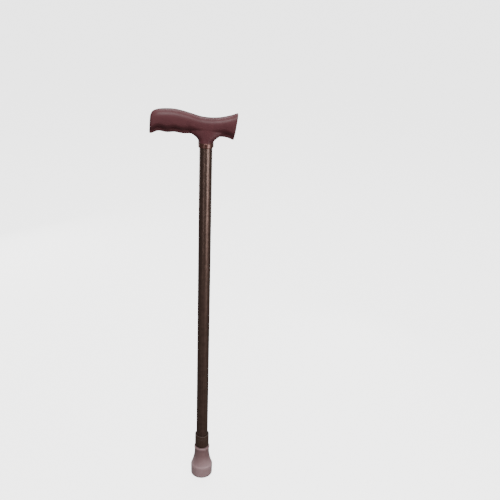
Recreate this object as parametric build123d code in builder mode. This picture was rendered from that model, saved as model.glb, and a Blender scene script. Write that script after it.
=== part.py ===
"""A height-adjustable single point walking cane, as separate pieces.

The frame is in millimetres, +Z up. The origin is the centre of the ferrule's sole, on the shaft's
axis. +X is the way the handle's nose points, and the height holes and the snap button face +Y.
The cane stands at its lowest setting.
"""

import os
from math import copysign, cos, pi, sin

from build123d import *

# Height setting
SADDLE_HEIGHT = 722.0
HOLE_PITCH = 19.05
HOLE_COUNT = 13

# Tubes
UPPER_RADIUS = 11.1
LOWER_RADIUS = 9.525
TUBE_WALL = 1.2
UPPER_BORE = UPPER_RADIUS - TUBE_WALL
LOWER_BORE = LOWER_RADIUS - TUBE_WALL
RUNNING_GAP = 0.05
FREE_GAP = 0.3

# Ferrule
SOLE_RADIUS = 19.0
BASE_RADIUS = 21.2
BASE_TOP = 24.0
BASE_ROUNDING = 2.0
BROW_SETBACK = 0.5
HEEL_REACH = 1.9
HEEL_HEIGHT = 3.5
HEEL_BULGE = 0.7
SHOULDER_RADIUS = 19.6
WAIST_RADIUS = 17.6
WAIST_HEIGHT = 33.0
THROAT_RADIUS = 15.5
THROAT_HEIGHT = 43.0
FLARE_TOP = 55.0
SLEEVE_RADIUS = 14.3
LIP_RADIUS = 14.9
LIP_HEIGHT = 4.0
LIP_EDGE = 0.8
MOUTH_HEIGHT = 66.0
SOCKET_FLOOR = 10.5
TREAD_DEPTH = 1.6
TREAD_WIDTH = 2.2
TREAD_RADII = (7.5, 12.0, 16.0)
RIM_POCKETS = 16
RIM_POCKET_TURN = 90 - 180 / RIM_POCKETS
RIM_POCKET_WIDTH = 2.8
RIM_POCKET_DEPTH = 1.0
RIM_POCKET_BOTTOM = 1.4
RIM_POCKET_TOP = 4.8
WASHER_THICKNESS = 1.5
WASHER_GAP = 0.1
WASHER_RADIUS = LOWER_RADIUS - WASHER_GAP
WASHER_HOLE = 3.0

# Height lock at the bottom of the upper tube
NUT_BOTTOM = 68.5
NUT_TOP = 94.5
NUT_RADIUS = 13.6
NUT_FOOT_ROUNDING = 1.0
NUT_RIM_ROUNDING = 0.6
NUT_FLOOR = 3.0
NUT_HOLE = LOWER_RADIUS + FREE_GAP
NUT_GROOVE_HEIGHT = 87.5
NUT_GROOVE_DEPTH = 0.4
NUT_FLUTES = 30
NUT_FLUTE_RADIUS = 0.45
NUT_FLUTE_PLACE = NUT_RADIUS + 0.15
NUT_FLUTE_BOTTOM = 71.0
NUT_FLUTE_TOP = 85.5
THREAD_RADIUS = 12.1
THREAD_TOP = 92.5
THREAD_CHAMFER = 0.3
UPPER_TUBE_BOTTOM = 80.0
BUSH_REST_GAP = 0.1
BUSH_BOTTOM = NUT_BOTTOM + NUT_FLOOR + BUSH_REST_GAP
BUSH_FOOT_RADIUS = 10.8
BUSH_TOP_RADIUS = 11.7
BUSH_BORE = LOWER_RADIUS + 0.06
BUSH_SLIT = 1.6
CONE_GAP = 0.08

# Handle and its fixing
NECK_RADIUS = 12.9
NECK_BOTTOM = SADDLE_HEIGHT - 40.0
RING_RADIUS = NECK_RADIUS + 0.2
RING_HEIGHT = 9.0
RING_FOOT_ROUNDING = 1.6
RING_TOP_ROUNDING = 1.2
SOCKET_DEPTH = 28.0
TUBE_TOP = NECK_BOTTOM + SOCKET_DEPTH
PLUG_HEIGHT = 24.0
PLUG_BORE = 5.0
PLUG_HOLE_INSET = 1.0
SCREW_HEIGHT = NECK_BOTTOM + 13.0
SCREW_RADIUS = 1.75
SCREW_HEAD_RADIUS = 3.4
SCREW_HEAD_FACE = 12.3
SCREW_TIP = 7.0
CROSS_WIDTH = 0.9
CROSS_LENGTH = 4.4
CROSS_DEPTH = 1.3

# Snap button
LOWER_TUBE_TOP = 418.0
GUIDE_STEM = 20.0
GUIDE_COLLAR = 6.0
GUIDE_BORE = 4.0
GUIDE_CHAMFER = 1.0
BUTTON_HEIGHT = 380.0
BUTTON_RADIUS = 3.1
BUTTON_HOLE_RADIUS = 3.3
BUTTON_TIP = 13.1
BUTTON_ROUNDING = 1.4
BUTTON_FLANGE_RADIUS = 4.3
BUTTON_FLANGE = 0.8
LEAF_OUTER = 5.4
LEAF_THICKNESS = 0.6
LEAF_WIDTH = 8.0
LEAF_BACK = -6.6
LEAF_FOLD = 2.2
LEAF_TOP = BUTTON_HEIGHT + 6.0
LEAF_KNEE = BUTTON_HEIGHT - 6.0
LEAF_BOTTOM = BUTTON_HEIGHT - 34.0

# Handle stations from the palm end to the nose. Each is the place along X, the heights of the crest
# and of the underside above the saddle, and the half width. The underside rises at each finger.
HANDLE_STATIONS = (
    (-97.0, 3.6, -30.8, 9.8),
    (-92.3, 6.6, -29.6, 11.0),
    (-88.5, 10.0, -28.0, 12.2),
    (-78.5, 13.3, -24.2, 13.1),
    (-65.0, 14.5, -25.6, 13.5),
    (-51.5, 14.0, -25.0, 13.6),
    (-38.0, 11.3, -27.2, 13.4),
    (-24.5, 7.4, -27.4, 13.1),
    (-8.0, 2.5, -29.4, 12.9),
    (8.0, 0.8, -31.2, 12.8),
    (24.0, 1.7, -31.6, 12.7),
    (38.0, 4.8, -33.4, 12.7),
    (47.0, 8.0, -35.6, 12.8),
    (57.0, 11.0, -37.4, 12.8),
)
SECTION_POWER = 2.7
SECTION_POINTS = 16
UNDERSIDE_NARROWING = 0.34
NOSE_PLACE = 49.9
NOSE_MIDDLE = SADDLE_HEIGHT - 12.0
NOSE_LEAN = 0.15
NOSE_ROUNDING = 2.0
PALM_PLACE = -92.3
PALM_MIDDLE = SADDLE_HEIGHT - 9.0
PALM_LEAN = 0.07
PALM_ROUNDING = 3.0

# Neck stations from its foot up into the handle: height above the saddle, rear reach, front reach
# and half width
NECK_STATIONS = (
    (-40.0, -12.9, 12.9, 12.9),
    (-37.5, -13.0, 14.2, 12.9),
    (-34.5, -14.2, 17.4, 12.9),
    (-31.5, -16.9, 21.4, 12.9),
    (-28.5, -20.8, 26.0, 12.9),
    (-25.5, -25.0, 30.0, 12.9),
    (-21.0, -27.5, 32.0, 12.8),
    (-12.0, -22.0, 24.0, 12.4),
)


def section_points(crest, underside, half_width):
    """Points round one handle section, a superellipse that narrows towards the fingers."""
    middle = (crest + underside) / 2
    half_height = (crest - underside) / 2
    points = []
    for step in range(SECTION_POINTS):
        angle = 2 * pi * step / SECTION_POINTS
        across = copysign(abs(cos(angle)) ** (2 / SECTION_POWER), cos(angle))
        up = copysign(abs(sin(angle)) ** (2 / SECTION_POWER), sin(angle))
        narrowing = 1 - UNDERSIDE_NARROWING * max(0.0, -up)
        points.append((half_width * across * narrowing, SADDLE_HEIGHT + middle + half_height * up))
    return points


def save(builder, label):
    """Labels a finished piece and writes its STEP file."""
    builder.part.label = label
    export_step(builder.part, f"parts/{label}.step")


os.makedirs("parts", exist_ok=True)

# ---------------------------------------------------------------- handle
# The grip is one loft from the palm end to the nose, and the neck is a second loft under it. The
# tube enters a blind socket in the neck, and one screw crosses both from the +Y side.
with BuildPart() as handle:
    for place, crest, underside, half_width in HANDLE_STATIONS:
        with BuildSketch(Plane.YZ.offset(place)):
            with BuildLine():
                Spline(*section_points(crest, underside, half_width), periodic=True)
            make_face()
    loft()
    split(bisect_by=Plane((NOSE_PLACE, 0, NOSE_MIDDLE), z_dir=(-1, 0, NOSE_LEAN)), keep=Keep.TOP)
    split(bisect_by=Plane((PALM_PLACE, 0, PALM_MIDDLE), z_dir=(1, 0, -PALM_LEAN)), keep=Keep.TOP)
    nose_rim = faces().sort_by(Axis.X)[-1].edges()
    palm_rim = faces().sort_by(Axis.X)[0].edges()
    fillet(nose_rim, NOSE_ROUNDING)
    fillet(palm_rim, PALM_ROUNDING)
    for height, rear, front, half_width in NECK_STATIONS:
        with BuildSketch(Plane.XY.offset(SADDLE_HEIGHT + height)):
            with Locations(((rear + front) / 2, 0)):
                Ellipse((front - rear) / 2, half_width)
    loft()
    with BuildSketch(Plane.XY.offset(NECK_BOTTOM)):
        Circle(UPPER_RADIUS)
    extrude(amount=SOCKET_DEPTH, mode=Mode.SUBTRACT)
    with BuildSketch(Plane.XZ.offset(-UPPER_BORE)):
        with Locations((0, SCREW_HEIGHT)):
            Circle(SCREW_RADIUS)
    extrude(amount=-2 * SCREW_HEAD_RADIUS, mode=Mode.SUBTRACT)
    with BuildSketch(Plane.XZ.offset(-UPPER_RADIUS)):
        with Locations((0, SCREW_HEIGHT)):
            Circle(SCREW_RADIUS)
    with BuildSketch(Plane.XZ.offset(-SCREW_HEAD_FACE)):
        with Locations((0, SCREW_HEIGHT)):
            Circle(SCREW_HEAD_RADIUS)
    loft(mode=Mode.SUBTRACT)
    with BuildSketch(Plane.XZ.offset(-SCREW_HEAD_FACE)):
        with Locations((0, SCREW_HEIGHT)):
            Circle(SCREW_HEAD_RADIUS)
    extrude(amount=-2 * SCREW_HEAD_RADIUS, mode=Mode.SUBTRACT)
save(handle, "handle")

# ---------------------------------------------------------------- handle screw
# A countersunk cross-head screw. Its head sits just under the neck's surface.
with BuildPart() as handle_screw:
    with BuildSketch(Plane.XZ.offset(-SCREW_TIP)):
        with Locations((0, SCREW_HEIGHT)):
            Circle(SCREW_RADIUS)
    extrude(amount=-(UPPER_RADIUS - SCREW_TIP))
    with BuildSketch(Plane.XZ.offset(-UPPER_RADIUS)):
        with Locations((0, SCREW_HEIGHT)):
            Circle(SCREW_RADIUS)
    with BuildSketch(Plane.XZ.offset(-SCREW_HEAD_FACE)):
        with Locations((0, SCREW_HEIGHT)):
            Circle(SCREW_HEAD_RADIUS)
    loft()
    with BuildSketch(Plane.XZ.offset(-SCREW_HEAD_FACE)):
        with Locations((0, SCREW_HEIGHT)):
            Rectangle(CROSS_LENGTH, CROSS_WIDTH)
            Rectangle(CROSS_WIDTH, CROSS_LENGTH)
    extrude(amount=CROSS_DEPTH, mode=Mode.SUBTRACT)
save(handle_screw, "handle_screw")

# ---------------------------------------------------------------- neck ring
# The rounded trim ring that the handle's neck stands on.
with BuildPart() as neck_ring:
    with BuildSketch(Plane.XY.offset(NECK_BOTTOM - RING_HEIGHT)):
        Circle(RING_RADIUS)
        Circle(UPPER_RADIUS, mode=Mode.SUBTRACT)
    extrude(amount=RING_HEIGHT)
    outer_rims = edges().filter_by(GeomType.CIRCLE).sort_by(SortBy.RADIUS)[-2:]
    fillet(outer_rims.sort_by(Axis.Z)[0], RING_FOOT_ROUNDING)
    outer_rims = edges().filter_by(GeomType.CIRCLE).group_by(Axis.Z)[-1].sort_by(SortBy.RADIUS)
    fillet(outer_rims[-1], RING_TOP_ROUNDING)
save(neck_ring, "neck_ring")

# ---------------------------------------------------------------- upper tube
# The height holes run down the +Y side of the tube, and the screw hole is near its top.
with BuildPart() as upper_tube:
    with BuildSketch(Plane.XY.offset(UPPER_TUBE_BOTTOM)):
        Circle(UPPER_RADIUS)
        Circle(UPPER_BORE, mode=Mode.SUBTRACT)
    extrude(amount=TUBE_TOP - UPPER_TUBE_BOTTOM)
    with BuildSketch(Plane.XZ):
        for step in range(HOLE_COUNT):
            with Locations((0, BUTTON_HEIGHT - step * HOLE_PITCH)):
                Circle(BUTTON_HOLE_RADIUS)
        with Locations((0, SCREW_HEIGHT)):
            Circle(SCREW_RADIUS)
    extrude(amount=-2 * UPPER_RADIUS, mode=Mode.SUBTRACT)
save(upper_tube, "upper_tube")

# ---------------------------------------------------------------- tube plug
# The plug inside the tube's top gives the handle screw something to bite.
with BuildPart() as tube_plug:
    with BuildSketch(Plane.XY.offset(TUBE_TOP - PLUG_HEIGHT)):
        Circle(UPPER_BORE)
        Circle(PLUG_BORE, mode=Mode.SUBTRACT)
    extrude(amount=PLUG_HEIGHT)
    with BuildSketch(Plane.XZ.offset(-PLUG_BORE + PLUG_HOLE_INSET)):
        with Locations((0, SCREW_HEIGHT)):
            Circle(SCREW_RADIUS)
    extrude(amount=-UPPER_RADIUS, mode=Mode.SUBTRACT)
save(tube_plug, "tube_plug")

# ---------------------------------------------------------------- threaded sleeve
# The sleeve fixed on the tube's foot carries the lock ring's thread.
with BuildPart() as threaded_sleeve:
    with BuildSketch(Plane.XY.offset(UPPER_TUBE_BOTTOM)):
        Circle(THREAD_RADIUS)
        Circle(UPPER_RADIUS, mode=Mode.SUBTRACT)
    extrude(amount=THREAD_TOP - UPPER_TUBE_BOTTOM)
    outer_rims = edges().filter_by(GeomType.CIRCLE).sort_by(SortBy.RADIUS)[-2:]
    chamfer(outer_rims, THREAD_CHAMFER)
save(threaded_sleeve, "threaded_sleeve")

# ---------------------------------------------------------------- compression bush
# The split cone that the lock ring squeezes on to the lower tube.
with BuildPart() as compression_bush:
    with BuildSketch(Plane.XY.offset(BUSH_BOTTOM)):
        Circle(BUSH_FOOT_RADIUS)
    with BuildSketch(Plane.XY.offset(UPPER_TUBE_BOTTOM)):
        Circle(BUSH_TOP_RADIUS)
    loft()
    with BuildSketch(Plane.XY.offset(BUSH_BOTTOM)):
        Circle(BUSH_BORE)
    extrude(amount=UPPER_TUBE_BOTTOM - BUSH_BOTTOM, mode=Mode.SUBTRACT)
    with BuildSketch(Plane.XY.offset(BUSH_BOTTOM)):
        with Locations((0, -UPPER_RADIUS)):
            Rectangle(BUSH_SLIT, 2 * (UPPER_RADIUS - LOWER_BORE))
    extrude(amount=UPPER_TUBE_BOTTOM - BUSH_BOTTOM, mode=Mode.SUBTRACT)
save(compression_bush, "compression_bush")

# ---------------------------------------------------------------- lock ring
# The nut has a cone for the bush, a bore for the thread, a rim groove and fine grip flutes.
with BuildPart() as lock_ring:
    with BuildSketch(Plane.XY.offset(NUT_BOTTOM)):
        Circle(NUT_RADIUS)
    extrude(amount=NUT_TOP - NUT_BOTTOM)
    fillet(edges().sort_by(Axis.Z)[0], NUT_FOOT_ROUNDING)
    fillet(edges().sort_by(Axis.Z)[-1], NUT_RIM_ROUNDING)
    with BuildSketch(Plane.XY.offset(NUT_BOTTOM)):
        Circle(NUT_HOLE)
    extrude(amount=NUT_TOP - NUT_BOTTOM, mode=Mode.SUBTRACT)
    with BuildSketch(Plane.XY.offset(BUSH_BOTTOM - BUSH_REST_GAP)):
        Circle(BUSH_FOOT_RADIUS + CONE_GAP)
    with BuildSketch(Plane.XY.offset(UPPER_TUBE_BOTTOM)):
        Circle(BUSH_TOP_RADIUS + CONE_GAP)
    loft(mode=Mode.SUBTRACT)
    with BuildSketch(Plane.XY.offset(UPPER_TUBE_BOTTOM - FREE_GAP)):
        Circle(THREAD_RADIUS + RUNNING_GAP)
    extrude(amount=NUT_TOP - UPPER_TUBE_BOTTOM + FREE_GAP, mode=Mode.SUBTRACT)
    with BuildSketch(Plane.XZ):
        with Locations((NUT_RADIUS, NUT_GROOVE_HEIGHT)):
            Circle(NUT_GROOVE_DEPTH)
    revolve(axis=Axis.Z, mode=Mode.SUBTRACT)
    with BuildSketch(Plane.XY.offset(NUT_FLUTE_BOTTOM)):
        with PolarLocations(NUT_FLUTE_PLACE, NUT_FLUTES):
            Circle(NUT_FLUTE_RADIUS)
    extrude(amount=NUT_FLUTE_TOP - NUT_FLUTE_BOTTOM, mode=Mode.SUBTRACT)
save(lock_ring, "lock_ring")

# ---------------------------------------------------------------- lower tube
with BuildPart() as lower_tube:
    with BuildSketch(Plane.XY.offset(SOCKET_FLOOR + WASHER_THICKNESS)):
        Circle(LOWER_RADIUS)
        Circle(LOWER_BORE, mode=Mode.SUBTRACT)
    extrude(amount=LOWER_TUBE_TOP - SOCKET_FLOOR - WASHER_THICKNESS)
    with BuildSketch(Plane.XZ):
        with Locations((0, BUTTON_HEIGHT)):
            Circle(BUTTON_HOLE_RADIUS)
    extrude(amount=-2 * LOWER_RADIUS, mode=Mode.SUBTRACT)
save(lower_tube, "lower_tube")

# ---------------------------------------------------------------- guide plug
# The collar on top of the lower tube keeps it central in the upper tube.
with BuildPart() as guide_plug:
    with BuildSketch(Plane.XY.offset(LOWER_TUBE_TOP - GUIDE_STEM)):
        Circle(LOWER_BORE)
    extrude(amount=GUIDE_STEM)
    with BuildSketch(Plane.XY.offset(LOWER_TUBE_TOP)):
        Circle(UPPER_BORE - RUNNING_GAP)
    extrude(amount=GUIDE_COLLAR)
    chamfer(edges().sort_by(Axis.Z)[-1], GUIDE_CHAMFER)
    with BuildSketch(Plane.XY.offset(LOWER_TUBE_TOP - GUIDE_STEM)):
        Circle(GUIDE_BORE)
    extrude(amount=GUIDE_STEM + GUIDE_COLLAR, mode=Mode.SUBTRACT)
save(guide_plug, "guide_plug")

# ---------------------------------------------------------------- snap button
with BuildPart() as snap_button:
    with BuildSketch(Plane.XZ.offset(-LEAF_OUTER)):
        with Locations((0, BUTTON_HEIGHT)):
            Circle(BUTTON_FLANGE_RADIUS)
    extrude(amount=-BUTTON_FLANGE)
    with BuildSketch(Plane.XZ.offset(-LEAF_OUTER)):
        with Locations((0, BUTTON_HEIGHT)):
            Circle(BUTTON_RADIUS)
    extrude(amount=-(BUTTON_TIP - LEAF_OUTER))
    fillet(edges().sort_by(Axis.Y)[-1], BUTTON_ROUNDING)
save(snap_button, "snap_button")

# ---------------------------------------------------------------- snap spring
# A folded leaf: one side carries the button and the other rests on the far wall of the tube.
with BuildPart() as snap_spring:
    with BuildSketch(Plane.YZ):
        with BuildLine():
            Polyline(
                (LEAF_OUTER - LEAF_THICKNESS / 2, LEAF_TOP),
                (LEAF_OUTER - LEAF_THICKNESS / 2, LEAF_KNEE),
                (LEAF_FOLD, LEAF_BOTTOM),
                (-LEAF_FOLD, LEAF_BOTTOM),
                (LEAF_BACK, LEAF_KNEE),
                (LEAF_BACK, LEAF_TOP),
            )
        trace(line_width=LEAF_THICKNESS)
    extrude(amount=LEAF_WIDTH / 2, both=True)
save(snap_spring, "snap_spring")

# ---------------------------------------------------------------- ferrule
# A moulded foot: sleeve, flare, broad base, rings of tread cut into the sole, and a row of small
# pockets round the heel.
with BuildPart() as ferrule:
    with BuildSketch(Plane.XZ):
        with BuildLine():
            sole = Line((0, 0), (SOLE_RADIUS, 0))
            heel = ThreePointArc(
                sole @ 1,
                (SOLE_RADIUS + HEEL_REACH * HEEL_BULGE, HEEL_HEIGHT * (1 - HEEL_BULGE)),
                (SOLE_RADIUS + HEEL_REACH, HEEL_HEIGHT),
            )
            base = Line(heel @ 1, (BASE_RADIUS, BASE_TOP - BASE_ROUNDING))
            brow = ThreePointArc(
                base @ 1,
                (BASE_RADIUS - BROW_SETBACK, BASE_TOP),
                (SHOULDER_RADIUS, BASE_TOP + BASE_ROUNDING),
            )
            flare = Spline(
                brow @ 1,
                (WAIST_RADIUS, WAIST_HEIGHT),
                (THROAT_RADIUS, THROAT_HEIGHT),
                (SLEEVE_RADIUS, FLARE_TOP),
            )
            sleeve = Line(flare @ 1, (SLEEVE_RADIUS, MOUTH_HEIGHT - LIP_HEIGHT))
            step_out = Line(sleeve @ 1, (LIP_RADIUS, MOUTH_HEIGHT - LIP_HEIGHT + LIP_RADIUS - SLEEVE_RADIUS))
            lip = Line(step_out @ 1, (LIP_RADIUS, MOUTH_HEIGHT - LIP_EDGE))
            lip_round = Line(lip @ 1, (LIP_RADIUS - LIP_EDGE, MOUTH_HEIGHT))
            mouth = Line(lip_round @ 1, (LOWER_RADIUS + LIP_EDGE, MOUTH_HEIGHT))
            lead_in = Line(mouth @ 1, (LOWER_RADIUS, MOUTH_HEIGHT - LIP_EDGE))
            socket_wall = Line(lead_in @ 1, (LOWER_RADIUS, SOCKET_FLOOR))
            socket_floor = Line(socket_wall @ 1, (0, SOCKET_FLOOR))
            Line(socket_floor @ 1, (0, 0))
        make_face()
    revolve(axis=Axis.Z)
    with BuildSketch(Plane.XY):
        for radius in TREAD_RADII:
            Circle(radius + TREAD_WIDTH / 2)
            Circle(radius - TREAD_WIDTH / 2, mode=Mode.SUBTRACT)
    extrude(amount=TREAD_DEPTH, mode=Mode.SUBTRACT)
    with BuildSketch(Plane.XY.offset(RIM_POCKET_BOTTOM)):
        with PolarLocations(SOLE_RADIUS + HEEL_REACH, RIM_POCKETS, start_angle=RIM_POCKET_TURN):
            Rectangle(2 * RIM_POCKET_DEPTH, RIM_POCKET_WIDTH)
    extrude(amount=RIM_POCKET_TOP - RIM_POCKET_BOTTOM, mode=Mode.SUBTRACT)
save(ferrule, "ferrule")

# ---------------------------------------------------------------- ferrule washer
with BuildPart() as ferrule_washer:
    with BuildSketch(Plane.XY.offset(SOCKET_FLOOR)):
        Circle(WASHER_RADIUS)
        Circle(WASHER_HOLE, mode=Mode.SUBTRACT)
    extrude(amount=WASHER_THICKNESS)
save(ferrule_washer, "ferrule_washer")
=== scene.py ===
"""The looks of the height-adjustable single point cane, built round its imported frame."""

import math

import bmesh
import bpy
from mathutils import Matrix, Vector


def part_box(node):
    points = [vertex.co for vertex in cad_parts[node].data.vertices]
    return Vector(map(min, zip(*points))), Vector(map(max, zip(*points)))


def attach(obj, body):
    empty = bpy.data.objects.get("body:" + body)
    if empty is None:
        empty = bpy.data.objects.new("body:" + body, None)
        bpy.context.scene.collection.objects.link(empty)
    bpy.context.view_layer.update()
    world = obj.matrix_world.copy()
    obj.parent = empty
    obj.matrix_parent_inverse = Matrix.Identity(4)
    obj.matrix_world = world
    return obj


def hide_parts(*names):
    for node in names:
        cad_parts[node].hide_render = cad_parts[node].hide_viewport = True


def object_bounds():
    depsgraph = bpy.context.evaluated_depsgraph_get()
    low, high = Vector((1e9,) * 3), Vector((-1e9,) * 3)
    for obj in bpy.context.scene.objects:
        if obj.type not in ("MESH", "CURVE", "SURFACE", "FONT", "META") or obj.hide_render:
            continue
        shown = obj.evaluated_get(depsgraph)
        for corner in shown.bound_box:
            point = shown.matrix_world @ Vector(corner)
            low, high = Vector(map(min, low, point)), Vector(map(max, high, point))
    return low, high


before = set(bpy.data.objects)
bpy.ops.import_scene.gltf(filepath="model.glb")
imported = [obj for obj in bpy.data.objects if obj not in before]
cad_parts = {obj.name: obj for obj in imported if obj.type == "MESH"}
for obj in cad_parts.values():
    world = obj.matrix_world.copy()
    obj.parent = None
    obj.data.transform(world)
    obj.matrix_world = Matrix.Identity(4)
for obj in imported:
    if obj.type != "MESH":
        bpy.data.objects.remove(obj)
cad_low, cad_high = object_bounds()

# ---------------------------------------------------------------- colours, as linear values

MAROON = (0.100, 0.033, 0.038, 1)
MAROON_WORN = (0.15, 0.055, 0.062, 1)
MAROON_DEEP = (0.055, 0.014, 0.018, 1)
BRONZE_ANODISE = (0.100, 0.060, 0.048, 1)
BRONZE_ANODISE_PALE = (0.160, 0.098, 0.080, 1)
BRONZE_TRIM = (0.110, 0.046, 0.038, 1)
BRONZE_TRIM_PALE = (0.190, 0.092, 0.076, 1)
RING_BROWN = (0.046, 0.024, 0.018, 1)
RING_BROWN_PALE = (0.065, 0.040, 0.031, 1)
MILKY_PINK = (0.46, 0.305, 0.32, 1)
MILKY_SHADE = (0.28, 0.17, 0.165, 1)
# Painted shade: the red brown of the dark tube seen through the ferrule's thin sleeve.
PAINTED_SEE_THROUGH_SHADE = (0.095, 0.032, 0.027, 1)
# Darker grey for the lowest few millimetres of the ferrule, towards the sole.
SOLE_DARK_GREY = (0.17, 0.14, 0.135, 1)
NYLON_WHITE = (0.62, 0.6, 0.55, 1)
NYLON_YELLOWED = (0.5, 0.46, 0.38, 1)
NYLON_BLACK = (0.012, 0.012, 0.013, 1)
NYLON_BLACK_PALE = (0.03, 0.03, 0.032, 1)
STEEL = (0.46, 0.45, 0.43, 1)
STEEL_SHADE = (0.28, 0.27, 0.26, 1)
SPRING_BLUE = (0.12, 0.13, 0.16, 1)
SPRING_STRAW = (0.22, 0.18, 0.12, 1)
DUST = (0.42, 0.39, 0.36, 1)
FLOOR_PALE = (0.80, 0.79, 0.78, 1)
FLOOR_BOUNCE = (0.10, 0.095, 0.09, 1)


# ---------------------------------------------------------------- node helpers


class Wiring:
    """Adds nodes to one node tree and joins them."""

    def __init__(self, tree):
        self.tree = tree

    def node(self, kind, settings=None, **values):
        """A new node. settings are its properties, and values its input sockets by name."""
        new = self.tree.nodes.new(kind)
        for name, value in (settings or {}).items():
            setattr(new, name, value)
        for name, value in values.items():
            self.feed(new.inputs[name.replace("_", " ")], value)
        return new

    def feed(self, socket, value):
        """Sets a socket to a number or joins it to an output."""
        if isinstance(value, bpy.types.NodeSocket):
            self.tree.links.new(value, socket)
        else:
            socket.default_value = value

    def maths(self, operation, first, second):
        """The output of one Math node."""
        new = self.tree.nodes.new("ShaderNodeMath")
        new.operation = operation
        self.feed(new.inputs[0], first)
        self.feed(new.inputs[1], second)
        return new.outputs[0]

    def remap(self, value, span, result=(0.0, 1.0)):
        """A value moved from one span to another, held inside it."""
        new = self.tree.nodes.new("ShaderNodeMapRange")
        for place, number in enumerate((value, *span, *result)):
            self.feed(new.inputs[place], number)
        return new.outputs[0]

    def blend(self, amount, first, second):
        """A mix of two colours."""
        new = self.tree.nodes.new("ShaderNodeMix")
        new.data_type = "RGBA"
        self.feed(new.inputs["Factor"], amount)
        self.feed(new.inputs["A"], first)
        self.feed(new.inputs["B"], second)
        return new.outputs["Result"]


def shader_group(name, inputs, outputs):
    """An empty shader group with named sockets, and its wiring, group input and group output."""
    tree = bpy.data.node_groups.new(name, "ShaderNodeTree")
    for label, kind, value in inputs:
        socket = tree.interface.new_socket(name=label, in_out="INPUT", socket_type=kind)
        if value is not None:
            socket.default_value = value
    for label, kind in outputs:
        tree.interface.new_socket(name=label, in_out="OUTPUT", socket_type=kind)
    wires = Wiring(tree)
    group_in = tree.nodes.new("NodeGroupInput")
    group_out = tree.nodes.new("NodeGroupOutput")
    return tree, wires, group_in.outputs, group_out.inputs


NUMBER = "NodeSocketFloat"
COLOUR = "NodeSocketColor"
VECTOR = "NodeSocketVector"

# Where each pattern starts and ends, as values of its texture, and what it makes of them
DRIFT_BAND = (0.35, 0.65)
PORE_BAND = (0.3, 0.7)
PORE_SHADES = (0.9, 1.08)
PORE_SCALE = 1800.0
PIT_HEIGHT = 0.5
LINE_BAND = (0.4, 0.72)
CLOUD_SCALE = 22.0
CLOUD_BAND = (0.3, 0.7)
CLOUD_SHARES = (0.35, 1.0)
EDGE_BAND = (0.505, 0.56)
RUB_BAND = (0.38, 0.62)
FILM_SCALE = 60.0
FILM_BAND = (0.4, 0.7)
UPWARD_BAND = (0.2, 1.0)
SPECK_BAND = (0.05, 0.12)
SPECK_SHARES = (0.35, 0.0)


def build_skin_group():
    """Slow drifts of tone and fine pores, as in moulded plastic and rubber."""
    tree, wires, given, result = shader_group(
        "moulded skin",
        [
            ("Colour", COLOUR, (0.5, 0.5, 0.5, 1)),
            ("Drift Colour", COLOUR, (0.4, 0.4, 0.4, 1)),
            ("Drift Scale", NUMBER, 40.0),
            ("Drift Amount", NUMBER, 0.5),
            ("Pore Scale", NUMBER, PORE_SCALE),
            ("Roughness", NUMBER, 0.4),
            ("Roughness Spread", NUMBER, 0.1),
        ],
        [("Colour", COLOUR), ("Roughness", NUMBER), ("Height", NUMBER)],
    )
    place = wires.node("ShaderNodeTexCoord").outputs["Object"]
    drift = wires.node("ShaderNodeTexNoise", Vector=place, Scale=given["Drift Scale"], Detail=4.0)
    pores = wires.node("ShaderNodeTexNoise", Vector=place, Scale=given["Pore Scale"], Detail=2.0)
    grain = wires.node("ShaderNodeTexVoronoi", Vector=place, Scale=given["Pore Scale"])
    drift_mask = wires.remap(drift.outputs[0], DRIFT_BAND)
    amount = wires.maths("MULTIPLY", drift_mask, given["Drift Amount"])
    toned = wires.blend(amount, given["Colour"], given["Drift Colour"])
    pore_shade = wires.remap(pores.outputs[0], PORE_BAND, PORE_SHADES)
    shade = wires.node("ShaderNodeVectorMath", {"operation": "SCALE"}, Scale=pore_shade)
    wires.feed(shade.inputs[0], toned)
    wires.feed(result["Colour"], shade.outputs[0])
    swing = wires.maths("SUBTRACT", drift.outputs[0], 0.5)
    swing = wires.maths("MULTIPLY", swing, given["Roughness Spread"])
    wires.feed(result["Roughness"], wires.maths("ADD", swing, given["Roughness"]))
    bumps = wires.maths("MULTIPLY", grain.outputs["Distance"], PIT_HEIGHT)
    wires.feed(result["Height"], wires.maths("ADD", bumps, pores.outputs[0]))
    return tree


def build_lines_group():
    """Fine lines left by drawing, turning or brushing metal. Stretch sets their direction."""
    tree, wires, given, result = shader_group(
        "drawn lines",
        [
            ("Colour", COLOUR, (0.5, 0.5, 0.5, 1)),
            ("Line Colour", COLOUR, (0.6, 0.6, 0.6, 1)),
            ("Stretch", VECTOR, (1500.0, 1500.0, 8.0)),
            ("Amount", NUMBER, 0.5),
            ("Roughness", NUMBER, 0.25),
            ("Roughness Spread", NUMBER, 0.15),
        ],
        [("Colour", COLOUR), ("Roughness", NUMBER), ("Height", NUMBER)],
    )
    place = wires.node("ShaderNodeTexCoord").outputs["Object"]
    stretched = wires.node("ShaderNodeVectorMath", {"operation": "MULTIPLY"})
    wires.feed(stretched.inputs[0], place)
    wires.feed(stretched.inputs[1], given["Stretch"])
    lines = wires.node("ShaderNodeTexNoise", Vector=stretched.outputs[0], Scale=1.0, Detail=5.0)
    clouds = wires.node("ShaderNodeTexNoise", Vector=place, Scale=CLOUD_SCALE, Detail=3.0)
    line_mask = wires.remap(lines.outputs[0], LINE_BAND)
    cloud_mask = wires.remap(clouds.outputs[0], CLOUD_BAND, CLOUD_SHARES)
    amount = wires.maths("MULTIPLY", line_mask, cloud_mask)
    tint = wires.maths("MULTIPLY", amount, given["Amount"])
    wires.feed(result["Colour"], wires.blend(tint, given["Colour"], given["Line Colour"]))
    swing = wires.maths("MULTIPLY", amount, given["Roughness Spread"])
    wires.feed(result["Roughness"], wires.maths("ADD", swing, given["Roughness"]))
    wires.feed(result["Height"], lines.outputs[0])
    return tree


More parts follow.
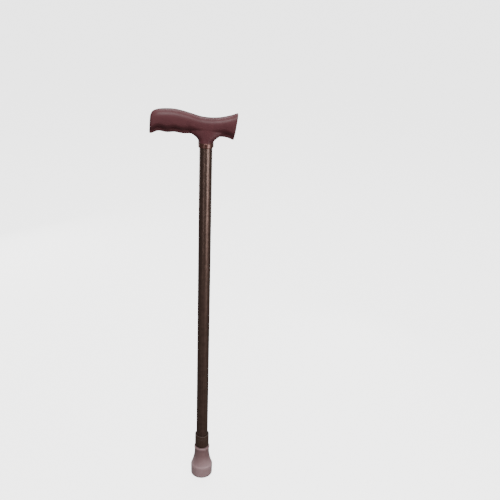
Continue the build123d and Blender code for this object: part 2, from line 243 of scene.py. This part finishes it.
def build_wear_group():
    """A mask of the outer edges and high spots that hands and floors rub."""
    tree, wires, given, result = shader_group(
        "rubbed edges",
        [("Amount", NUMBER, 0.5), ("Patch Scale", NUMBER, 120.0)],
        [("Mask", NUMBER)],
    )
    place = wires.node("ShaderNodeTexCoord").outputs["Object"]
    patches = wires.node("ShaderNodeTexNoise", Vector=place, Scale=given["Patch Scale"], Detail=5.0)
    pointed = wires.node("ShaderNodeNewGeometry").outputs["Pointiness"]
    edge = wires.remap(pointed, EDGE_BAND)
    patchy = wires.remap(patches.outputs[0], RUB_BAND)
    mask = wires.maths("MULTIPLY", edge, patchy)
    wires.feed(result["Mask"], wires.maths("MULTIPLY", mask, given["Amount"]))
    return tree


def build_dust_group():
    """A mask of thin dust on faces that look upwards, and of small specks elsewhere."""
    tree, wires, given, result = shader_group(
        "settled dust",
        [("Amount", NUMBER, 0.2), ("Speck Scale", NUMBER, 900.0)],
        [("Mask", NUMBER)],
    )
    place = wires.node("ShaderNodeTexCoord").outputs["Object"]
    film = wires.node("ShaderNodeTexNoise", Vector=place, Scale=FILM_SCALE, Detail=6.0)
    specks = wires.node("ShaderNodeTexVoronoi", Vector=place, Scale=given["Speck Scale"])
    facing = wires.node("ShaderNodeSeparateXYZ")
    wires.feed(facing.inputs[0], wires.node("ShaderNodeNewGeometry").outputs["Normal"])
    upward = wires.remap(facing.outputs["Z"], UPWARD_BAND)
    patchy = wires.remap(film.outputs[0], FILM_BAND)
    speck_mask = wires.remap(specks.outputs["Distance"], SPECK_BAND, SPECK_SHARES)
    laid = wires.maths("MULTIPLY", upward, patchy)
    both = wires.maths("MAXIMUM", laid, speck_mask)
    wires.feed(result["Mask"], wires.maths("MULTIPLY", both, given["Amount"]))
    return tree


SKIN = build_skin_group()
LINES = build_lines_group()
WEAR = build_wear_group()
DUSTING = build_dust_group()


def start_material(name):
    """A new material, its wiring and its Principled shader."""
    material = bpy.data.materials.new(name)
    material.use_nodes = True
    wires = Wiring(material.node_tree)
    shader = next(n for n in material.node_tree.nodes if n.type == "BSDF_PRINCIPLED")
    return material, wires, shader


def place_group(wires, tree, **values):
    """Puts a shader group in a material with its own values."""
    new = wires.tree.nodes.new("ShaderNodeGroup")
    new.node_tree = tree
    for name, value in values.items():
        wires.feed(new.inputs[name.replace("_", " ")], value)
    return new.outputs


def set_gloss(shader, **values):
    """Sets plain numbers on the shader's own sockets."""
    for name, value in values.items():
        shader.inputs[name.replace("_", " ")].default_value = value


def press_in(wires, shader, height, depth, strength):
    """Feeds a height to the shader's normal through a Bump node."""
    bump = wires.node("ShaderNodeBump", Strength=strength, Distance=depth, Height=height)
    wires.feed(shader.inputs["Normal"], bump.outputs[0])


SKIN_ROUGHNESS_SPREAD = 0.25
SKIN_DULLED = 0.4
SKIN_BUMP = 0.35
METAL_WEAR = 0.5
METAL_DULLED = 0.5
METAL_BUMP = 0.25


def moulded(name, colour, drift, worn_colour, roughness, pore_depth, wear, dust=0.12):
    """Moulded plastic with pores, slow drifts of tone, rubbed edges and a little dust."""
    material, wires, shader = start_material(name)
    skin = place_group(
        wires,
        SKIN,
        Colour=colour,
        Drift_Colour=drift,
        Pore_Scale=PORE_SCALE,
        Roughness=roughness,
        Roughness_Spread=SKIN_ROUGHNESS_SPREAD,
    )
    rubbed = place_group(wires, WEAR, Amount=wear)["Mask"]
    dusty = place_group(wires, DUSTING, Amount=dust)["Mask"]
    worn = wires.blend(rubbed, skin["Colour"], worn_colour)
    wires.feed(shader.inputs["Base Color"], wires.blend(dusty, worn, DUST))
    duller = wires.maths("MULTIPLY", dusty, SKIN_DULLED)
    wires.feed(shader.inputs["Roughness"], wires.maths("ADD", skin["Roughness"], duller))
    press_in(wires, shader, skin["Height"], pore_depth, SKIN_BUMP)
    return material, shader


def lined_metal(
    name, colour, line_colour, stretch, roughness, line_depth, amount=0.5, dust=0.1, metal=1.0
):
    """Metal with drawn, turned or brushed lines, rubbed edges and a little dust."""
    material, wires, shader = start_material(name)
    lines = place_group(
        wires,
        LINES,
        Colour=colour,
        Line_Colour=line_colour,
        Stretch=stretch,
        Amount=amount,
        Roughness=roughness,
    )
    rubbed = place_group(wires, WEAR, Amount=METAL_WEAR)["Mask"]
    dusty = place_group(wires, DUSTING, Amount=dust)["Mask"]
    worn = wires.blend(rubbed, lines["Colour"], line_colour)
    wires.feed(shader.inputs["Base Color"], wires.blend(dusty, worn, DUST))
    duller = wires.maths("MULTIPLY", dusty, METAL_DULLED)
    wires.feed(shader.inputs["Roughness"], wires.maths("ADD", lines["Roughness"], duller))
    wires.feed(shader.inputs["Metallic"], wires.remap(dusty, (0.0, 1.0), (metal, 0.0)))
    press_in(wires, shader, lines["Height"], line_depth, METAL_BUMP)
    return material, shader


# ---------------------------------------------------------------- materials


def build_grip_material():
    """Satin maroon plastic, paler where palms have rubbed it."""
    material, shader = moulded(
        "maroon moulded grip",
        MAROON,
        MAROON_DEEP,
        MAROON_WORN,
        roughness=0.42,
        pore_depth=0.00008,
        wear=0.6,
        dust=0.015,
    )
    set_gloss(shader, Specular_IOR_Level=0.2)
    return material


def build_tube_material():
    """Dark bronze anodised aluminium with lines drawn along the tube, under a thin clear film."""
    material, shader = lined_metal(
        "bronze anodised tube",
        BRONZE_ANODISE,
        BRONZE_ANODISE_PALE,
        stretch=(1400.0, 1400.0, 7.0),
        roughness=0.35,
        line_depth=0.00002,
        amount=0.6,
        dust=0.05,
        metal=0.8,
    )
    set_gloss(shader, Coat_Weight=0.2, Coat_Roughness=0.2)
    return material


def build_trim_material():
    """Glossy bronze brown lacquer of the neck ring, paler on its rubbed edges."""
    material, shader = moulded(
        "bronze trim gloss",
        BRONZE_TRIM,
        BRONZE_TRIM_PALE,
        BRONZE_TRIM_PALE,
        roughness=0.3,
        pore_depth=0.00003,
        wear=0.3,
    )
    set_gloss(shader, Metallic=0.6, Coat_Weight=0.12, Coat_Roughness=0.14)
    return material


def build_ring_material():
    """Satin dark brown moulded plastic of the lock ring, rubbed on its flutes."""
    material, shader = moulded(
        "dark brown lock ring",
        RING_BROWN,
        RING_BROWN_PALE,
        RING_BROWN_PALE,
        roughness=0.4,
        pore_depth=0.00003,
        wear=0.5,
    )
    set_gloss(shader, Specular_IOR_Level=0.35, Coat_Weight=0.04, Coat_Roughness=0.25)
    return material


# Heights on the ferrule in metres, and how strong each mark on it is: the painted see-through shade
# on the sleeve and the darker grey towards the sole
SEE_THROUGH_SHADE_RISE = (0.026, 0.048)
SEE_THROUGH_SHADE_AT_LIP = (0.0600, 0.0625)
LIP_SHARE = 0.75
SEE_THROUGH_SHADE_AMOUNT = 0.6
# Over these heights the ferrule turns darker grey and rougher towards the sole.
SOLE_DARKENING_RISE = (0.0, 0.006)
SOLE_DARKENING_AMOUNT = 0.45


def build_foot_material():
    """Milky soft rubber, with a painted red brown shade round the thin sleeve where the dark tube
    shows through, and darker grey towards the sole.
    """
    material, wires, shader = start_material("milky pink ferrule")
    skin = place_group(
        wires,
        SKIN,
        Colour=MILKY_PINK,
        Drift_Colour=MILKY_SHADE,
        Drift_Scale=55.0,
        Drift_Amount=0.3,
        Pore_Scale=1200.0,
        Roughness=0.36,
        Roughness_Spread=0.2,
    )
    split = wires.node("ShaderNodeSeparateXYZ")
    wires.feed(split.inputs[0], wires.node("ShaderNodeTexCoord").outputs["Object"])
    height = split.outputs["Z"]
    # Painted see-through shade: a red brown band round the sleeve above the base, a little lighter
    # at the lip, standing in for the dark tube inside showing through the rubber.
    above_base = wires.remap(height, SEE_THROUGH_SHADE_RISE)
    below_lip = wires.remap(height, SEE_THROUGH_SHADE_AT_LIP, (1.0, LIP_SHARE))
    sleeve = wires.maths("MULTIPLY", above_base, below_lip)
    tint = wires.maths("MULTIPLY", sleeve, SEE_THROUGH_SHADE_AMOUNT)
    see_through_shaded = wires.blend(tint, skin["Colour"], PAINTED_SEE_THROUGH_SHADE)
    rubbed = place_group(wires, WEAR, Amount=0.3)["Mask"]
    dusty = place_group(wires, DUSTING, Amount=0.12)["Mask"]
    # Darker grey and rougher towards the sole.
    near_sole = wires.remap(height, SOLE_DARKENING_RISE, (1.0, 0.0))
    sole_share = wires.maths("MULTIPLY", near_sole, SOLE_DARKENING_AMOUNT)
    worn = wires.blend(rubbed, see_through_shaded, MILKY_PINK)
    sole_darkened = wires.blend(sole_share, worn, SOLE_DARK_GREY)
    wires.feed(shader.inputs["Base Color"], wires.blend(dusty, sole_darkened, DUST))
    wires.feed(shader.inputs["Roughness"], wires.maths("ADD", skin["Roughness"], sole_share))
    press_in(wires, shader, skin["Height"], depth=0.00006, strength=0.3)
    set_gloss(
        shader,
        Subsurface_Weight=0.35,
        Subsurface_Radius=(0.7, 0.62, 0.6),
        Subsurface_Scale=0.004,
        Transmission_Weight=0.15,
        Sheen_Weight=0.2,
        Sheen_Roughness=0.4,
    )
    return material


LOOKS = {
    "maroon": build_grip_material(),
    "tube": build_tube_material(),
    "trim": build_trim_material(),
    "ring": build_ring_material(),
    "foot": build_foot_material(),
    "white nylon": moulded(
        "natural nylon",
        NYLON_WHITE,
        NYLON_YELLOWED,
        NYLON_WHITE,
        roughness=0.45,
        pore_depth=0.00004,
        wear=0.2,
    )[0],
    "black nylon": moulded(
        "black nylon",
        NYLON_BLACK,
        NYLON_BLACK_PALE,
        NYLON_BLACK_PALE,
        roughness=0.4,
        pore_depth=0.00004,
        wear=0.6,
    )[0],
    "screw": lined_metal(
        "zinc plated screw",
        STEEL,
        STEEL_SHADE,
        stretch=(1800.0, 300.0, 1800.0),
        roughness=0.32,
        line_depth=0.00002,
    )[0],
    "button": lined_metal(
        "polished snap button",
        STEEL,
        STEEL_SHADE,
        stretch=(2200.0, 400.0, 2200.0),
        roughness=0.16,
        line_depth=0.00001,
        amount=0.3,
    )[0],
    "spring": lined_metal(
        "blued spring strip",
        SPRING_BLUE,
        SPRING_STRAW,
        stretch=(2500.0, 2500.0, 60.0),
        roughness=0.3,
        line_depth=0.00002,
    )[0],
    "washer": lined_metal(
        "zinc plated washer",
        STEEL,
        STEEL_SHADE,
        stretch=(900.0, 900.0, 900.0),
        roughness=0.35,
        line_depth=0.00002,
    )[0],
}


def dress(name, look):
    """Gives a CAD node its material in every slot."""
    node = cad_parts[name]
    node.data.materials.clear()
    node.data.materials.append(LOOKS[look])


for node_name, look in (
    ("neck_ring", "trim"),
    ("upper_tube", "tube"),
    ("lower_tube", "tube"),
    ("lock_ring", "ring"),
    ("threaded_sleeve", "black nylon"),
    ("compression_bush", "white nylon"),
    ("guide_plug", "black nylon"),
    ("tube_plug", "white nylon"),
    ("snap_button", "button"),
    ("snap_spring", "spring"),
    ("handle_screw", "screw"),
    ("ferrule", "foot"),
    ("ferrule_washer", "washer"),
):
    dress(node_name, look)


# ---------------------------------------------------------------- handle

SADDLE = 0.722
NECK_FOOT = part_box("handle")[0].z
SOCKET_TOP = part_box("upper_tube")[1].z
TUBE_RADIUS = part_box("upper_tube")[1].x

# Along the grip, in metres: place along X, crest and underside above the saddle, half width
GRIP_LINE = (
    (-0.0922, 0.0060, -0.0290, 0.0112),
    (-0.0885, 0.0100, -0.0276, 0.0122),
    (-0.0785, 0.0134, -0.0238, 0.0131),
    (-0.0650, 0.0145, -0.0252, 0.0135),
    (-0.0515, 0.0140, -0.0252, 0.0136),
    (-0.0380, 0.0113, -0.0269, 0.0134),
    (-0.0245, 0.0074, -0.0275, 0.0131),
    (-0.0080, 0.0025, -0.0293, 0.0129),
    (0.0080, 0.0008, -0.0314, 0.0128),
    (0.0240, 0.0017, -0.0316, 0.0127),
    (0.0380, 0.0051, -0.0330, 0.0127),
    (0.0496, 0.0095, -0.0366, 0.0128),
)
# Up the neck, in metres: height above the saddle, rear reach, front reach, half width
NECK_LINE = (
    (-0.0435, -0.0129, 0.0129, 0.0129),
    (-0.0400, -0.0129, 0.0129, 0.0129),
    (-0.0375, -0.0130, 0.0142, 0.0129),
    (-0.0345, -0.0142, 0.0174, 0.0129),
    (-0.0315, -0.0169, 0.0214, 0.0129),
    (-0.0285, -0.0208, 0.0260, 0.0128),
    (-0.0255, -0.0250, 0.0300, 0.0127),
    (-0.0210, -0.0275, 0.0320, 0.0126),
    (-0.0120, -0.0220, 0.0240, 0.0122),
)
GRIP_STEP = 0.001
SECTION_STEPS = 80
SECTION_POWER = 2.6
UNDERSIDE_NARROWING = 0.08
NOSE_LEAN = 0.15
NOSE_LEAN_FROM = 0.012
NOSE_LEAN_LENGTH = 0.036
NOSE_MIDDLE = -0.012
PALM_LEAN = 0.07
PALM_LEAN_FROM = -0.076
PALM_LEAN_LENGTH = 0.014
PALM_MIDDLE = -0.009
PALM_ROUNDING = 0.0045
NOSE_ROUNDING = 0.0018
ROUNDING_STEPS = 8

FINGER_PLACES = (-0.0785, -0.0515, -0.0265)
FINGER_HALF_WIDTH = 0.0105
FINGER_DEPTH = 0.0038
FINGER_TOP = 0.22
FINGER_BELLY = 0.75
FACET_HEIGHT = 0.0135
FACET_FINGER_RISE = 0.9
FACET_SLOPE = 0.55
FACET_LEAST = 0.45
FINGER_CORNER_RISE = 1.6
BELLY_FROM = 0.75
NOSE_REST_PLACE = 0.030
NOSE_REST_HALF_WIDTH = 0.012
NOSE_REST_DEPTH = 0.0028
NECK_SPANS = 40
REMESH_SIZE = 0.0008
SMOOTH_SHARE = 0.5
SMOOTH_STEPS = 10
SHARP_DEGREES = 38
CUTTER_STEPS = 64
SOCKET_OVERSHOOT = 0.002
SCREW_PLACE = 0.695
# The screw hole, in metres: radius and distance from the shaft's axis
SCREW_HOLE = (
    (0.00176, 0.0099),
    (0.00176, 0.0111),
    (0.0034, 0.0123),
    (0.0034, 0.0180),
)


def along(line, place):
    """The values of a table of stations at one place, on a smooth curve through them."""
    last = len(line) - 2
    index = max(0, min(last, sum(1 for row in line if row[0] <= place) - 1))
    before, start = line[max(index - 1, 0)], line[index]
    end, after = line[index + 1], line[min(index + 2, last + 1)]
    span = end[0] - start[0]
    t = (place - start[0]) / span
    values = []
    for column in range(1, len(start)):
        lead = (end[column] - before[column]) / (end[0] - before[0]) * span
        trail = (after[column] - start[column]) / (after[0] - start[0]) * span
        values.append(
            (2 * t**3 - 3 * t**2 + 1) * start[column]
            + (t**3 - 2 * t**2 + t) * lead
            + (3 * t**2 - 2 * t**3) * end[column]
            + (t**3 - t**2) * trail
        )
    return values


def ease(value):
    """A smooth rise from 0 to 1."""
    value = max(0.0, min(1.0, value))
    return value * value * (3 - 2 * value)


def finger_depth(place):
    """How deep the finger rests are pressed in at one place along the grip."""
    depth = 0.0
    for centre in FINGER_PLACES:
        depth += FINGER_DEPTH * math.exp(-(((place - centre) / FINGER_HALF_WIDTH) ** 2))
    nose = (place - NOSE_REST_PLACE) / NOSE_REST_HALF_WIDTH
    return depth + NOSE_REST_DEPTH * math.exp(-(nose**2))


def grip_ring(place, inset):
    """Points round the grip at one place. inset draws them in, to round an end."""
    crest, underside, half_width = along(GRIP_LINE, place)
    middle = (crest + underside) / 2
    half_height = (crest - underside) / 2 - inset
    half_width -= inset
    nose_lean = NOSE_LEAN * ease((place - NOSE_LEAN_FROM) / NOSE_LEAN_LENGTH)
    palm_lean = PALM_LEAN * ease((PALM_LEAN_FROM - place) / PALM_LEAN_LENGTH)
    finger = finger_depth(place)
    facet_top = underside + inset + FACET_HEIGHT + FACET_FINGER_RISE * finger
    ring = []
    for step in range(SECTION_STEPS):
        angle = 2 * math.pi * step / SECTION_STEPS
        across = math.copysign(abs(math.cos(angle)) ** (2 / SECTION_POWER), math.cos(angle))
        up = math.copysign(abs(math.sin(angle)) ** (2 / SECTION_POWER), math.sin(angle))
        across *= 1 - UNDERSIDE_NARROWING * max(0.0, -up)
        aside = half_width * across
        height = middle + half_height * up
        below = -math.sin(angle)
        corner = ease((below - FINGER_TOP) / (1 - FINGER_TOP) * FINGER_CORNER_RISE)
        belly = 1 - FINGER_BELLY * ease((below - BELLY_FROM) / (1 - BELLY_FROM))
        pressed = finger * corner * belly
        reach = math.hypot(aside, height - middle)
        aside -= pressed * aside / reach
        height -= pressed * (height - middle) / reach
        facet = max(0.0, facet_top - height) * FACET_SLOPE
        aside = math.copysign(max(FACET_LEAST * abs(aside), abs(aside) - facet), aside)
        forward = place + nose_lean * (height - NOSE_MIDDLE) + palm_lean * (height - PALM_MIDDLE)
        ring.append((forward, aside, SADDLE + height))
    return ring


def neck_ring_points(height):
    """Points round the neck at one height."""
    rear, front, half_width = along(NECK_LINE, height)
    ring = []
    for step in range(SECTION_STEPS):
        angle = 2 * math.pi * step / SECTION_STEPS
        forward = (rear + front) / 2 + (front - rear) / 2 * math.cos(angle)
        ring.append((forward, half_width * math.sin(angle), SADDLE + height))
    return ring


def add_tube(shape, rings):
    """Joins rings of points into one closed skin."""
    loops = [[shape.verts.new(point) for point in ring] for ring in rings]
    for first, second in zip(loops, loops[1:]):
        for step in range(len(first)):
            following = (step + 1) % len(first)
            shape.faces.new((first[step], first[following], second[following], second[step]))
    shape.faces.new(list(reversed(loops[0])))
    shape.faces.new(loops[-1])


def grip_rings():
    """Every ring of the grip, with both ends rounded over."""
    first, last = GRIP_LINE[0][0], GRIP_LINE[-1][0]
    rings = []
    for step in range(ROUNDING_STEPS):
        angle = math.pi / 2 * step / ROUNDING_STEPS
        back = PALM_ROUNDING * (1 - math.sin(angle))
        rings.append((first + PALM_ROUNDING - PALM_ROUNDING * math.cos(angle), back))
    place = first + PALM_ROUNDING
    while place < last - NOSE_ROUNDING:
        rings.append((place, 0.0))
        place += GRIP_STEP
    for step in range(ROUNDING_STEPS):
        angle = math.pi / 2 * (step + 1) / ROUNDING_STEPS
        back = NOSE_ROUNDING * (1 - math.cos(angle))
        rings.append((last - NOSE_ROUNDING + NOSE_ROUNDING * math.sin(angle), back))
    return [grip_ring(place, inset) for place, inset in rings]


def object_from(shape, name):
    """A new object in the scene from a finished bmesh."""
    bmesh.ops.recalc_face_normals(shape, faces=shape.faces)
    mesh = bpy.data.meshes.new(name)
    shape.to_mesh(mesh)
    shape.free()
    result = bpy.data.objects.new(name, mesh)
    bpy.context.scene.collection.objects.link(result)
    return result


def settled(source, name):
    """The object with its modifiers applied, as a new plain object. The source is removed."""
    graph = bpy.context.evaluated_depsgraph_get()
    mesh = bpy.data.meshes.new_from_object(source.evaluated_get(graph))
    bpy.data.objects.remove(source)
    result = bpy.data.objects.new(name, mesh)
    bpy.context.scene.collection.objects.link(result)
    return result


def turned_cutter(name, profile, start, axis_turn):
    """A turned solid from (radius, distance) corners, which cuts a round hole."""
    shape = bmesh.new()
    rings = []
    for radius, distance in profile:
        ring = []
        for step in range(CUTTER_STEPS):
            angle = 2 * math.pi * step / CUTTER_STEPS
            corner = Vector((radius * math.cos(angle), radius * math.sin(angle), distance))
            ring.append(axis_turn @ corner + start)
        rings.append(ring)
    add_tube(shape, rings)
    return object_from(shape, name)


def cut_away(piece, cutter):
    """Cuts one solid out of another."""
    cut = piece.modifiers.new("cut", "BOOLEAN")
    cut.object = cutter
    cut.solver = "EXACT"
    result = settled(piece, piece.name + ".cut")
    bpy.data.objects.remove(cutter)
    return result


def smooth_shading(mesh, sharp_angle):
    """Shades a mesh smooth, with the edges over an angle kept crisp."""
    mesh.polygons.foreach_set("use_smooth", [True] * len(mesh.polygons))
    mesh.set_sharp_from_angle(angle=math.radians(sharp_angle))


def build_grip():
    """The handle: grip and neck as one flowing skin, with finger rests, socket and screw hole."""
    shape = bmesh.new()
    add_tube(shape, grip_rings())
    lowest, highest = NECK_LINE[0][0], NECK_LINE[-1][0]
    heights = [lowest + (highest - lowest) * step / NECK_SPANS for step in range(NECK_SPANS + 1)]
    add_tube(shape, [neck_ring_points(height) for height in heights])
    rough = object_from(shape, "rough_grip")
    remesh = rough.modifiers.new("even skin", "REMESH")
    remesh.mode = "VOXEL"
    remesh.voxel_size = REMESH_SIZE
    smooth = rough.modifiers.new("flow", "SMOOTH")
    smooth.factor = SMOOTH_SHARE
    smooth.iterations = SMOOTH_STEPS
    grip = settled(rough, "soft_grip")
    shape = bmesh.new()
    shape.from_mesh(grip.data)
    cut = bmesh.ops.bisect_plane(
        shape,
        geom=shape.verts[:] + shape.edges[:] + shape.faces[:],
        plane_co=(0, 0, NECK_FOOT),
        plane_no=(0, 0, 1),
        clear_inner=True,
    )
    rim = [e for e in cut["geom_cut"] if isinstance(e, bmesh.types.BMEdge)]
    bmesh.ops.contextual_create(shape, geom=rim)
    shape.to_mesh(grip.data)
    shape.free()
    depth = SOCKET_TOP - NECK_FOOT
    upright = Matrix.Identity(3)
    socket_profile = ((TUBE_RADIUS, -SOCKET_OVERSHOOT), (TUBE_RADIUS, depth))
    socket = turned_cutter("socket", socket_profile, Vector((0, 0, NECK_FOOT)), upright)
    grip = cut_away(grip, socket)
    outward = Matrix.Rotation(math.radians(-90), 3, "X")
    hole = turned_cutter("screw_hole", SCREW_HOLE, Vector((0, 0, SCREW_PLACE)), outward)
    grip = cut_away(grip, hole)
    grip.name = "moulded_grip"
    smooth_shading(grip.data, SHARP_DEGREES)
    grip.data.materials.clear()
    grip.data.materials.append(LOOKS["maroon"])
    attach(grip, "upper_shaft")
    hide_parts("handle")


build_grip()


# ---------------------------------------------------------------- floor, lights and camera

FLOOR_RADIUS = 40.0
FLOOR_DROP = 0.0002
FLOOR_GLOW = 3.0
AIR_STRENGTHS = (0.3, 3.6)

# The soft lights: name, place, what each faces, its size in metres and its power in watts
SOFTBOXES = (
    ("overhead", (-0.1, 0.1, 2.3), (0, 0, 0.5), (1.4, 1.4), 14),
    ("front", (-0.05, -1.35, 2.2), (0, 0, 0.45), (1.2, 0.9), 42),
    ("rear", (0.1, 1.3, 2.2), (0, 0, 0.45), (1.2, 0.9), 18),
    ("right low box", (1.0, -1.05, 0.34), (0, 0, 0.6), (1.0, 0.36), 6),
    ("right stand", (0.5, -0.62, 0.42), (0, 0, 0.5), (0.2, 0.5), 1.3),
    ("left stand", (-0.55, -1.2, 0.3), (0, 0, 0.5), (0.2, 0.6), 1.2),
    ("rear low box", (-0.9, 1.15, 0.34), (0, 0, 0.6), (1.0, 0.36), 6),
    ("rear stand", (0.5, 0.7, 0.42), (0, 0, 0.5), (0.16, 0.5), 1.2),
)

CAMERA_PLACE = (-0.0124, -1.2244, 1.0205)
CAMERA_YAW = 4.325
CAMERA_PITCH = 23.467
CAMERA_ROLL = 2.262
CAMERA_LENS = 54.605
CAMERA_SENSOR = 36
CAMERA_NEAR = 0.01


def build_floor():
    """A plain pale floor, shown brighter to the camera than to what it lights."""
    bpy.ops.mesh.primitive_circle_add(vertices=96, radius=FLOOR_RADIUS, fill_type="NGON")
    floor = bpy.context.object
    floor.name = "floor"
    floor.location = (0, 0, cad_low[2] - FLOOR_DROP)
    material, wires, shader = start_material("pale floor")
    seen = wires.node("ShaderNodeLightPath").outputs["Is Camera Ray"]
    wires.feed(shader.inputs["Base Color"], wires.blend(seen, FLOOR_BOUNCE, FLOOR_PALE))
    set_gloss(shader, Roughness=0.9, Specular_IOR_Level=0.1, Emission_Color=(1, 1, 1, 1))
    wires.feed(shader.inputs["Emission Strength"], wires.maths("MULTIPLY", seen, FLOOR_GLOW))
    floor.data.materials.append(material)


def build_world():
    """Plain studio air: white to the camera and a dim grey to reflections."""
    world = bpy.data.worlds.new("studio")
    bpy.context.scene.world = world
    world.use_nodes = True
    wires = Wiring(world.node_tree)
    air = next(n for n in world.node_tree.nodes if n.type == "BACKGROUND")
    seen = wires.node("ShaderNodeLightPath").outputs["Is Camera Ray"]
    wires.feed(air.inputs["Strength"], wires.remap(seen, (0.0, 1.0), AIR_STRENGTHS))
    air.inputs["Color"].default_value = (1, 1, 1, 1)


def softbox(name, place, target, size, power):
    """A rectangular soft light at a place, turned to face a target."""
    lamp = bpy.data.lights.new(name, "AREA")
    lamp.shape = "RECTANGLE"
    lamp.size, lamp.size_y = size
    lamp.energy = power
    holder = bpy.data.objects.new(name, lamp)
    bpy.context.scene.collection.objects.link(holder)
    holder.location = place
    holder.visible_camera = False
    holder.rotation_euler = (Vector(target) - Vector(place)).to_track_quat("-Z", "Y").to_euler()


def build_camera():
    """The camera in front of the cane, looking down on it, a little turned and tilted."""
    yaw, pitch, roll = (math.radians(a) for a in (CAMERA_YAW, CAMERA_PITCH, CAMERA_ROLL))
    ahead = Vector((math.sin(yaw), math.cos(yaw), 0))
    forward = ahead * math.cos(pitch) - Vector((0, 0, math.sin(pitch)))
    level = Vector((math.cos(yaw), -math.sin(yaw), 0))
    above = level.cross(forward)
    right = level * math.cos(roll) + above * math.sin(roll)
    up = -level * math.sin(roll) + above * math.cos(roll)
    data = bpy.data.cameras.new("camera")
    data.lens = CAMERA_LENS
    data.sensor_width = CAMERA_SENSOR
    data.clip_start = CAMERA_NEAR
    camera = bpy.data.objects.new("camera", data)
    bpy.context.scene.collection.objects.link(camera)
    turn = Matrix((right, up, -forward)).transposed().to_4x4()
    camera.matrix_world = Matrix.Translation(CAMERA_PLACE) @ turn
    bpy.context.scene.camera = camera


build_floor()
build_world()
for name, place, target, size, power in SOFTBOXES:
    softbox(name, place, target, size, power)
build_camera()
